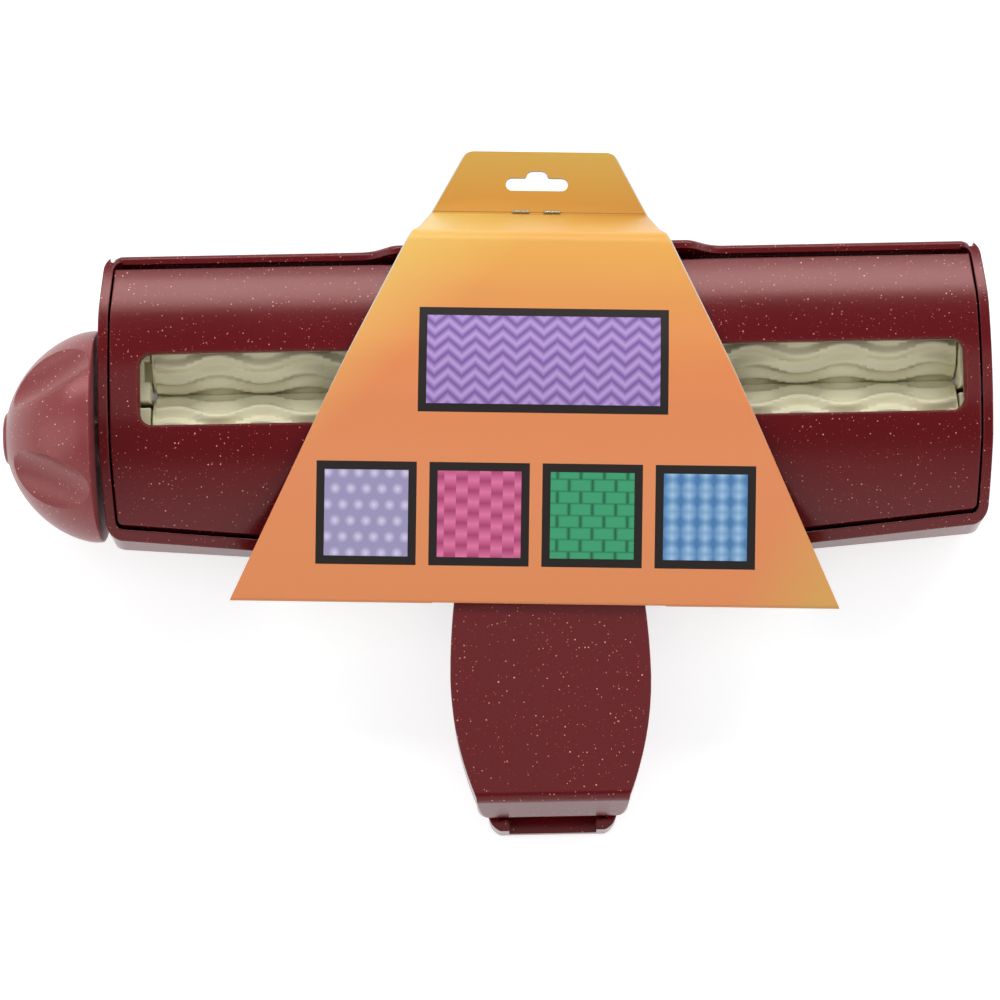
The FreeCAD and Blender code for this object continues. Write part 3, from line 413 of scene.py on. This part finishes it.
patternSizes = {  # in mm, but for the sharpness of studs and seams and the beads' sway
    "zigWide": 5.6, "zigTall": 2.4, "zigPitch": 2.7, "stud": 3.2, "studSharp": 2.6,
    "stair": 2.4, "stairPitch": 4.4, "brick": 4.8, "course": 2.4, "seamSharp": 4.0,
    "beadWide": 3.4, "beadTall": 2.1, "beadSway": 0.22, "beadBend": 1.5,
}


def triangleWave(tree, value, period):  # 0 to 1 and back once a period
    share = calc(tree, "FRACT", calc(tree, "DIVIDE", value, period))
    return calc(tree, "ABSOLUTE", calc(tree, "MULTIPLY_ADD", share, 2.0, -1.0))


def samplePattern(tree, kind, u, v):  # 0 in the hollows to 1 on the ridges
    size = patternSizes
    if kind == "zigzag":
        shifted = calc(tree, "MULTIPLY_ADD", triangleWave(tree, u, size["zigWide"]), size["zigTall"], v)
        return triangleWave(tree, shifted, size["zigPitch"])
    if kind == "studs":
        row = calc(tree, "FLOOR", calc(tree, "DIVIDE", v, size["stud"]))
        moved = calc(tree, "MULTIPLY_ADD", row, size["stud"] / 2, u)
        steps = [calc(tree, "DIVIDE", way, size["stud"]) for way in (moved, v)]
        across, up = [calc(tree, "SUBTRACT", calc(tree, "FRACT", step), 0.5) for step in steps]
        away = calc(tree, "SQRT", calc(tree, "ADD", calc(tree, "MULTIPLY", across, across),
                                       calc(tree, "MULTIPLY", up, up)))
        return calc(tree, "SUBTRACT", 1.0, calc(tree, "MULTIPLY", away, size["studSharp"]), clamp=True)
    if kind == "steps":
        stair = calc(tree, "SNAP", u, size["stair"])
        return triangleWave(tree, calc(tree, "ADD", v, stair), size["stairPitch"])
    if kind == "bricks":
        row = calc(tree, "FLOOR", calc(tree, "DIVIDE", v, size["course"]))
        moved = calc(tree, "MULTIPLY_ADD", row, size["brick"] / 2, u)
        seamU = triangleWave(tree, moved, size["brick"])
        seamV = triangleWave(tree, v, size["course"])
        low = calc(tree, "MAXIMUM", seamU, calc(tree, "MULTIPLY_ADD", seamV, 0.6, 0.3))
        return calc(tree, "MULTIPLY", calc(tree, "SUBTRACT", 1.0, low), size["seamSharp"], clamp=True)
    bend = calc(tree, "SINE", calc(tree, "MULTIPLY", v, size["beadBend"]))
    shifted = calc(tree, "MULTIPLY_ADD", bend, size["beadSway"], triangleWave(tree, u, size["beadWide"]))
    level = calc(tree, "MULTIPLY_ADD", triangleWave(tree, v, size["beadTall"]), 0.5, 0.5)
    return calc(tree, "MULTIPLY", shifted, level, clamp=True)


def outlineHalf(tree, y):  # half the card's width at a height on it, from its corner points
    look = cardLook
    corners = [(look["bottomHalf"], look["bottomY"]), (look["shoulderHalf"], look["shoulderY"]),
               (look["foldHalf"], look["foldY"]), (look["topHalf"], look["topY"])]
    sides = []
    for (halfLow, low), (halfHigh, high) in zip(corners, corners[1:]):
        slope = (halfHigh - halfLow) / (high - low)
        sides.append(calc(tree, "MULTIPLY_ADD", y, slope, halfLow - slope * low))
    return calc(tree, "MINIMUM", calc(tree, "MAXIMUM", sides[0], sides[1]), sides[2])


def cardGroundAndPaintedLight(tree, place, x, y):  # the card's colour before the samples are laid on it: print, with painted highlight and painted crease shade
    tone = cardPrintAndLight
    up = calc(tree, "DIVIDE", calc(tree, "ADD", y, tone["from"]), tone["span"])
    drift = addNode(tree, "ShaderNodeTexNoise", -900, 300)
    drift.inputs["Scale"].default_value = tone["driftScale"]
    drift.inputs["Detail"].default_value = 1
    feed(tree, drift.inputs["Vector"], place)
    swayed = calc(tree, "MULTIPLY_ADD", calc(tree, "SUBTRACT", drift.outputs[0], 0.5), tone["drift"], up)
    ground = ramp(tree, swayed, tone["stops"])
    corner = calc(tree, "MULTIPLY_ADD", y, tone["cornerSlope"], x)
    corner = calc(tree, "SUBTRACT", corner, tone["cornerStart"])
    corner = calc(tree, "MULTIPLY", corner, tone["cornerRate"], clamp=True)
    ground = mixColour(tree, calc(tree, "MULTIPLY", corner, tone["cornerShare"]), ground, tone["cornerInk"])
    # lighter yellow towards the upper left, below the fold only: partly the print, partly painted highlight
    # where the card bends over the head
    printAndHighlight = calc(tree, "SUBTRACT", calc(tree, "SUBTRACT", y, x), tone["printAndHighlightStart"])
    printAndHighlight = calc(tree, "MULTIPLY", printAndHighlight, tone["printAndHighlightRate"], clamp=True)
    printAndHighlight = calc(tree, "MULTIPLY", printAndHighlight, calc(tree, "LESS_THAN", y, cardLook["foldY"]))
    ground = mixColour(tree, calc(tree, "MULTIPLY", printAndHighlight, tone["printAndHighlightShare"]), ground, tone["printAndHighlightColour"])
    # painted shade: two thin dark lines either side of the fold crease
    creaseShade = calc(tree, "ABSOLUTE", calc(tree, "SUBTRACT", y, cardLook["foldY"]))
    creaseShade = calc(tree, "ABSOLUTE", calc(tree, "SUBTRACT", creaseShade, tone["creaseAway"]))
    creaseShade = calc(tree, "LESS_THAN", creaseShade, tone["creaseWidth"])
    return mixColour(tree, calc(tree, "MULTIPLY", creaseShade, tone["creaseShadeShare"]), ground, tone["creaseShadeColour"])


def makeCardFinish():
    look = cardLook
    material, tree, shader, place = newMaterial("printedCardBoard")
    onCard = addNode(tree, "ShaderNodeMapping", -1100, 0, vector_type="TEXTURE")
    onCard.inputs["Location"].default_value = (0, look["foldY"] * mm, 0)
    onCard.inputs["Rotation"].default_value = (0, 0, math.radians(look["turnDegrees"]))
    onCard.inputs["Scale"].default_value = (mm, mm, mm)
    feed(tree, onCard.inputs["Vector"], place)
    split = addNode(tree, "ShaderNodeSeparateXYZ", -900, 0)
    feed(tree, split.inputs[0], onCard.outputs[0])
    x, z = split.outputs[0], split.outputs[2]
    y = calc(tree, "ADD", split.outputs[1], look["foldY"])
    ground = cardGroundAndPaintedLight(tree, place, x, y)
    for sample in samples:
        cell = useGroup(tree, sampleGroup, X=x, Y=y, Frame=look["frame"])
        for key, value in zip(("Centre X", "Centre Y", "Half X", "Half Y"), sample["at"] + sample["half"]):
            cell.inputs[key].default_value = value
        ridge = samplePattern(tree, sample["kind"], cell.outputs["U"], cell.outputs["V"])
        picture = mixColour(tree, ridge, sample["dark"], sample["light"])
        ground = mixColour(tree, cell.outputs["Frame"], ground, look["ink"])
        ground = mixColour(tree, cell.outputs["Picture"], ground, picture)
    # print only where the board faces out of the front, above the rear ply, and not on the cut edge
    facing = addNode(tree, "ShaderNodeSeparateXYZ", -900, -300)
    feed(tree, facing.inputs[0], addNode(tree, "ShaderNodeNewGeometry", -1100, -300).outputs["Normal"])
    outside = calc(tree, "MULTIPLY", calc(tree, "GREATER_THAN", facing.outputs[2], look["facing"]),
                   calc(tree, "GREATER_THAN", z, look["rearPly"]))
    trimmed = calc(tree, "SUBTRACT", outlineHalf(tree, y), look["bareEdge"])
    outside = calc(tree, "MULTIPLY", outside, calc(tree, "LESS_THAN", calc(tree, "ABSOLUTE", x), trimmed))
    fibre = addNode(tree, "ShaderNodeTexNoise", -900, -600)
    fibre.inputs["Scale"].default_value = look["fibreScale"]
    fibre.inputs["Detail"].default_value = look["fibreDetail"]
    feed(tree, fibre.inputs["Vector"], place)
    board = mixColour(tree, calc(tree, "MULTIPLY", fibre.outputs[0], look["fibreShare"]), look["board"],
                      look["fibre"])
    feed(tree, shader.inputs["Base Color"], mixColour(tree, outside, board, ground))
    rough = look["boardRoughness"]
    gloss = calc(tree, "MULTIPLY_ADD", outside, look["sheen"] - rough, rough)
    gloss = calc(tree, "MULTIPLY_ADD", fibre.outputs[0], look["roughnessVary"], gloss)
    feed(tree, shader.inputs["Roughness"], gloss)
    bump = addNode(tree, "ShaderNodeBump", -300, -500)
    bump.inputs["Strength"].default_value = look["fibreBump"]
    bump.inputs["Distance"].default_value = look["fibreDepth"]
    feed(tree, bump.inputs["Height"], fibre.outputs[0])
    feed(tree, shader.inputs["Normal"], bump.outputs[0])
    return material


cardFinish = makeCardFinish()
print("card print made")


# Rollers: a long cylinder whose ribs swing to and fro, with a plain collar at each end

rollerLook = {
    "pitchRadius": 7.75, "ribHeight": 0.75, "ribs": 14, "ribTurn": 7.8, "wave": 18.6, "waveTurn": 9.2,
    "waveShift": 0.7, "left": -81.0, "length": 166.6, "collarRadius": 7.7, "collarLeft": 0.6,
    "collarRight": 0.2, "collarEase": 0.02, "bore": 3.02, "boreDepth": 6.0, "squeezeLead": 3.65, "tilt": 10.0,
    "softShare": 1 / 3, "around": 196, "along": 100, "endReach": 0.01, "sharpFrom": 38,
}


def fitRings(piece, axisY, axisZ, radius):  # the selected ring is drawn in or out to a radius in mm
    for vertex in piece.data.vertices:
        if vertex.select:
            share = radius * mm / math.hypot(vertex.co.y - axisY, vertex.co.z - axisZ)
            vertex.co.y = axisY + (vertex.co.y - axisY) * share
            vertex.co.z = axisZ + (vertex.co.z - axisZ) * share


def drawRing(piece, step, radius, axisY=0.0, axisZ=0.0):  # the selected ring is extruded by a step in mm
    bpy.ops.object.mode_set(mode="EDIT")
    bpy.ops.mesh.extrude_region_move(TRANSFORM_OT_translate={"value": (step * mm, 0, 0)})
    bpy.ops.object.mode_set(mode="OBJECT")
    fitRings(piece, axisY, axisZ, radius)


def makeRoller(name, node, facing, way):  # facing: direction of the other roller, in degrees
    look = rollerLook
    low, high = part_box(node)
    axisY, axisZ = (low.y + high.y) / 2, (low.z + high.z) / 2
    clearSelection()
    bpy.ops.mesh.primitive_cylinder_add(vertices=look["around"], radius=look["pitchRadius"] * mm,
                                        depth=look["length"] * mm, end_fill_type="NOTHING",
                                        location=((look["left"] + look["length"] / 2) * mm, 0, 0),
                                        rotation=(0, math.pi / 2, 0))
    roller = settle(bpy.context.object, name)
    bpy.ops.object.mode_set(mode="EDIT")
    bpy.ops.mesh.select_mode(type="EDGE")
    bpy.ops.mesh.select_all(action="DESELECT")
    bpy.ops.object.mode_set(mode="OBJECT")
    for edge in roller.data.edges:  # the long edges
        ends = [roller.data.vertices[index].co for index in edge.vertices]
        edge.select = abs(ends[0].x - ends[1].x) > mm
    bpy.ops.object.mode_set(mode="EDIT")
    bpy.ops.mesh.subdivide(number_cuts=look["along"] - 1)
    bpy.ops.mesh.select_mode(type="VERT")
    bpy.ops.object.mode_set(mode="OBJECT")
    start = look["ribTurn"] + (look["squeezeLead"] if way < 0 else 0)
    for vertex in roller.data.vertices:
        along = vertex.co.x / mm - look["left"]
        swing = look["waveTurn"] * math.cos(2 * math.pi * (along / look["wave"] - look["waveShift"]))
        turn = math.radians(facing + way * (start + swing))
        angle = math.atan2(vertex.co.z, vertex.co.y)
        rise = way * look["ribHeight"] * math.cos(look["ribs"] * (angle - turn))
        radius = (look["pitchRadius"] + rise) * mm
        vertex.co.y = radius * math.cos(angle)
        vertex.co.z = radius * math.sin(angle)
    # each end ring is closed down to the collar, drawn out, and drawn in to the bore
    right = look["left"] + look["length"]
    for end, depth, sense in ((look["left"], look["collarLeft"], -1), (right, look["collarRight"], 1)):
        selectOnly(roller)
        bpy.ops.object.mode_set(mode="EDIT")
        bpy.ops.mesh.select_mode(type="VERT")
        bpy.ops.mesh.select_all(action="DESELECT")
        bpy.ops.object.mode_set(mode="OBJECT")
        for vertex in roller.data.vertices:
            vertex.select = abs(vertex.co.x - end * mm) < look["endReach"] * mm
        collar, soft = look["collarRadius"] - look["collarEase"], depth * look["softShare"]
        for step, radius in ((0, collar), (depth - soft, collar), (soft, collar - soft), (0, look["bore"]),
                             (-look["boreDepth"], look["bore"])):
            drawRing(roller, step * sense, radius)
    for vertex in roller.data.vertices:
        vertex.co.y += axisY
        vertex.co.z += axisZ
    tidyMesh(roller, look["sharpFrom"])
    roller.data.materials.append(ivoryPlastic)
    return roller


for rollerName, node, body, facing, way in (
        ("waveRollerLower", "drive_roller", "drive", rollerLook["tilt"], 1),
        ("waveRollerUpper", "idler_roller", "idler", rollerLook["tilt"] + 180, -1)):
    rollerPiece = makeRoller(rollerName, node, facing, way)
    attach(rollerPiece, body)
    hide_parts(node)
print("rollers modelled")


# Knob: a dome drawn up ring by ring, with five finger scoops cut out of it

knobShape = {
    "radius": 22.2, "length": 20.2, "lip": 1.4, "fullness": 1.22, "wall": 4.4, "room": 5.5, "hub": 7.0,
    "bore": 3.02, "boreDepth": 12.3, "screwWay": 1.35, "headWay": 2.8, "headDepth": 4.0,
    "lipSoft": ((0.0, 0.5), (0.15, 0.12), (0.5, 0.0)), "capRadius": 5.68, "capDepth": 1.9, "capRim": 0.25,
    "capBreak": 0.1, "capBreakDepth": 0.12, "around": 180, "rings": 40, "sharpFrom": 28,
    "scoopAround": 72, "scoopRings": 48, "scoops": 5,
    "scoopAt": 19.0, "scoopLength": 24.0, "scoopWidth": 8.4, "scoopDepth": 3.3, "scoopStart": 43.6,
}


def knobProfile():  # places along the axis, from the base up and back inside, and radii, in mm
    look = knobShape
    depth = look["length"] - look["lip"]
    outline = [(-along, look["radius"] - inset) for along, inset in look["lipSoft"]]
    for step in range(look["rings"]):
        turn = math.pi / 2 * (1 - step / look["rings"])
        radius = look["radius"] * math.sin(turn)
        if radius > look["capRadius"] + look["capRim"]:
            reach = depth * math.cos(turn) ** look["fullness"] if step else 0.0
            outline.append((-look["lip"] - reach, radius))
    edge, tip, inner = outline[-1][0], -look["length"], look["radius"] - look["wall"]
    seat, head = tip + look["capDepth"], tip + look["headDepth"]
    outline += [(edge - look["capBreakDepth"], look["capRadius"] + look["capBreak"]),
                (edge, look["capRadius"]), (seat, look["capRadius"]), (seat, look["headWay"]),
                (head, look["headWay"]),
                (head, look["screwWay"]), (-look["boreDepth"], look["screwWay"]),
                (-look["boreDepth"], look["bore"]), (0.0, look["bore"]), (0.0, look["hub"]),
                (-look["room"], look["hub"]), (-look["room"], inner), (0.0, inner)]
    return outline


def makeScoops(base, axisY, axisZ):  # long rounded forms, leaning along the dome's slope
    look = knobShape
    depth = look["length"] - look["lip"]
    slope = math.asin(look["scoopAt"] / look["radius"])
    reach = depth * math.cos(slope) ** look["fullness"]
    steepness = depth * look["fullness"] * math.cos(slope) ** (look["fullness"] - 1) * math.sin(slope)
    normal = math.atan2(steepness, look["radius"] * math.cos(slope))  # from the axis outwards
    away = look["scoopWidth"] - look["scoopDepth"]
    x = -look["lip"] - reach - away * math.cos(normal)
    out = look["scoopAt"] + away * math.sin(normal)
    scoops = []
    for index in range(look["scoops"]):
        clearSelection()
        bpy.ops.mesh.primitive_uv_sphere_add(segments=look["scoopAround"], ring_count=look["scoopRings"],
                                             radius=look["scoopWidth"] * mm)
        scoop = bpy.context.object
        scoop.scale = (1, 1, look["scoopLength"] / look["scoopWidth"])
        around = math.radians(look["scoopStart"] + 90 + 360 * index / look["scoops"])
        lean = Quaternion((0, 1, 0), normal)  # its length now lies along the slope
        spin = Quaternion((1, 0, 0), around - math.pi / 2)
        scoop.rotation_mode = "QUATERNION"
        scoop.rotation_quaternion = spin @ lean
        scoop.location = (base + x * mm, axisY + out * mm * math.cos(around),
                          axisZ + out * mm * math.sin(around))
        scoops.append(scoop)
    return joinPieces(scoops, "knobScoops")


def makeKnob():
    look = knobShape
    low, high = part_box("knob_washer")
    axisY, axisZ = (low.y + high.y) / 2, (low.z + high.z) / 2
    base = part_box("knob")[1].x
    clearSelection()
    bpy.ops.mesh.primitive_circle_add(vertices=look["around"], radius=(look["radius"] - look["wall"]) * mm,
                                      location=(base, axisY, axisZ), rotation=(0, math.pi / 2, 0))
    knob = settle(bpy.context.object, "turningKnob")
    bpy.ops.object.mode_set(mode="EDIT")
    bpy.ops.mesh.select_mode(type="VERT")
    bpy.ops.mesh.select_all(action="SELECT")
    bpy.ops.object.mode_set(mode="OBJECT")
    last = 0.0
    for x, radius in knobProfile():
        drawRing(knob, x - last, radius, axisY, axisZ)
        last = x
    tidyMesh(knob, look["sharpFrom"])
    scoops = makeScoops(base, axisY, axisZ)
    tidyMesh(scoops, look["sharpFrom"])
    cut = knob.modifiers.new("scoops", "BOOLEAN")
    cut.operation = "DIFFERENCE"
    cut.solver = "EXACT"
    cut.object = scoops
    applyModifiers(knob)
    selectOnly(scoops)
    bpy.ops.object.delete()
    tidyMesh(knob, look["sharpFrom"])
    knob.data.materials.clear()
    knob.data.materials.append(knobSheenPlastic)
    return knob


knobPiece = makeKnob()
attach(knobPiece, "drive")
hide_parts("knob")
print("knob modelled")


# Finishes on the remaining parts
finishes = {
    "rear_housing": housingPlastic, "top_cover": housingPlastic, "front_lever": housingPlastic,
    "top_cover_screws": steel, "hinge_pins": steel, "hinge_bushes": ivoryPlastic, "drive_shaft": steel,
    "idler_shaft": steel, "drive_roller_washers": steel, "idler_roller_washers": steel,
    "knob_base_plate": knobSheenPlastic, "knob_cap": knobSheenPlastic, "knob_washer": steel, "knob_screw": steel,
    "return_spring": steel, "travel_stop": stopRubber, "hang_card": cardFinish, "card_staples": steel,
    "upper_bearing_left": ivoryPlastic, "upper_bearing_right": ivoryPlastic,
    "lower_bearing_left": ivoryPlastic, "lower_bearing_right": ivoryPlastic,
}
for node, material in finishes.items():
    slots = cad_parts[node].data.materials
    slots.clear()
    slots.append(material)
print("finishes assigned")


# Table, lamps and camera

studioLook = {
    "table": paint(202, 202, 203), "grain": paint(190, 190, 190), "grainShare": 0.02, "grainScale": 40,
    "tableSize": 6.0, "tableDrop": 0.0002, "tableGlow": 0.68, "tableRoughness": 0.7, "tableSpecular": 0.1,
    "sky": ((0.0, 1.0), (0.45, 0.6), (0.85, 0.16)),  # height and brightness, from the horizon up
}
softboxes = {  # place and aim in metres, width and height, power
    "keySoftbox": ((0, 0.50, 0.54), (0, 0.03, 0.02), 1.3, 0.17, 3.6),
    "leftSoftbox": ((-0.75, -0.1, 0.55), (-0.05, 0, 0.02), 0.5, 0.8, 1.5),
    "rightSoftbox": ((0.75, -0.1, 0.55), (0.05, 0, 0.02), 0.5, 0.8, 1.5),
    "frontSoftbox": ((0, -0.70, 0.50), (0, 0.03, 0.02), 1.4, 0.6, 0.7),
    "overheadSoftbox": ((0, -0.04, 0.92), (0, 0, 0.02), 1.4, 0.38, 0.9),
}


def makeTable():
    clearSelection()
    bpy.ops.mesh.primitive_plane_add(size=studioLook["tableSize"], location=(0, 0, -studioLook["tableDrop"]))
    table = settle(bpy.context.object, "studioTable")
    material, tree, shader, place = newMaterial("whiteTable")
    grain = addNode(tree, "ShaderNodeTexNoise", -900, 0)
    grain.inputs["Scale"].default_value = studioLook["grainScale"]
    feed(tree, grain.inputs["Vector"], place)
    grainShare = calc(tree, "MULTIPLY", grain.outputs[0], studioLook["grainShare"])
    mottled = mixColour(tree, grainShare, studioLook["table"], studioLook["grain"])
    feed(tree, shader.inputs["Base Color"], mottled)
    shader.inputs["Roughness"].default_value = studioLook["tableRoughness"]
    shader.inputs["Specular IOR Level"].default_value = studioLook["tableSpecular"]
    feed(tree, shader.inputs["Emission Color"], (1, 1, 1, 1))
    # seen directly or mirrored, the table is white paper lit from below
    rays = addNode(tree, "ShaderNodeLightPath", -900, -300).outputs
    seen = calc(tree, "ADD", rays["Is Camera Ray"], rays["Is Glossy Ray"])
    seen = calc(tree, "ADD", seen, rays["Is Transmission Ray"], clamp=True)
    feed(tree, shader.inputs["Emission Strength"], calc(tree, "MULTIPLY", seen, studioLook["tableGlow"]))
    table.data.materials.append(material)


def makeLamp(name, place, aim, width, height, power):
    clearSelection()
    bpy.ops.object.light_add(type="AREA", location=place)
    lamp = bpy.context.object
    lamp.name = name
    lamp.data.shape = "RECTANGLE"
    lamp.data.size = width
    lamp.data.size_y = height
    lamp.data.energy = power
    lamp.rotation_euler = (Vector(aim) - Vector(place)).to_track_quat("-Z", "Y").to_euler()


def makeWorld():
    world = bpy.data.worlds.new("studioRoom")
    bpy.context.scene.world = world
    world.use_nodes = True
    tree = world.node_tree
    split = addNode(tree, "ShaderNodeSeparateXYZ", -500, 0)
    feed(tree, split.inputs[0], addNode(tree, "ShaderNodeTexCoord", -700, 0).outputs["Generated"])
    height = calc(tree, "ABSOLUTE", split.outputs[2])
    level = ramp(tree, height, [(step, (grey,) * 3 + (1,)) for step, grey in studioLook["sky"]], "EASE")
    feed(tree, tree.nodes["Background"].inputs["Color"], level)
    tree.nodes["Background"].inputs["Strength"].default_value = 1.0


cameraLook = {
    "target": (-9.71, 9.17, 23.2), "height": 76, "distance": 0.65, "roll": 1.1, "field": 0.2087,
    "sensor": 36, "clip": 0.01,
}


def makeCamera():  # photographed from above the handle, 14 degrees off straight down
    look = cameraLook
    rise = math.radians(look["height"])
    back = Vector((0, -math.cos(rise), math.sin(rise)))
    clearSelection()
    bpy.ops.object.camera_add(location=Vector(look["target"]) * mm + back * look["distance"])
    camera = bpy.context.object
    camera.name = "photoCamera"
    camera.rotation_mode = "QUATERNION"
    level = (-back).to_track_quat("-Z", "Y")
    camera.rotation_quaternion = Quaternion(back, -math.radians(look["roll"])) @ level
    camera.data.sensor_width = look["sensor"]
    camera.data.lens = look["sensor"] * look["distance"] / look["field"]
    camera.data.clip_start = look["clip"]
    bpy.context.scene.camera = camera


makeTable()
for lampName, (place, aim, width, height, power) in softboxes.items():
    makeLamp(lampName, place, aim, width, height, power)
makeWorld()
makeCamera()
bpy.context.scene.view_settings.view_transform = "Standard"
print("studio ready")
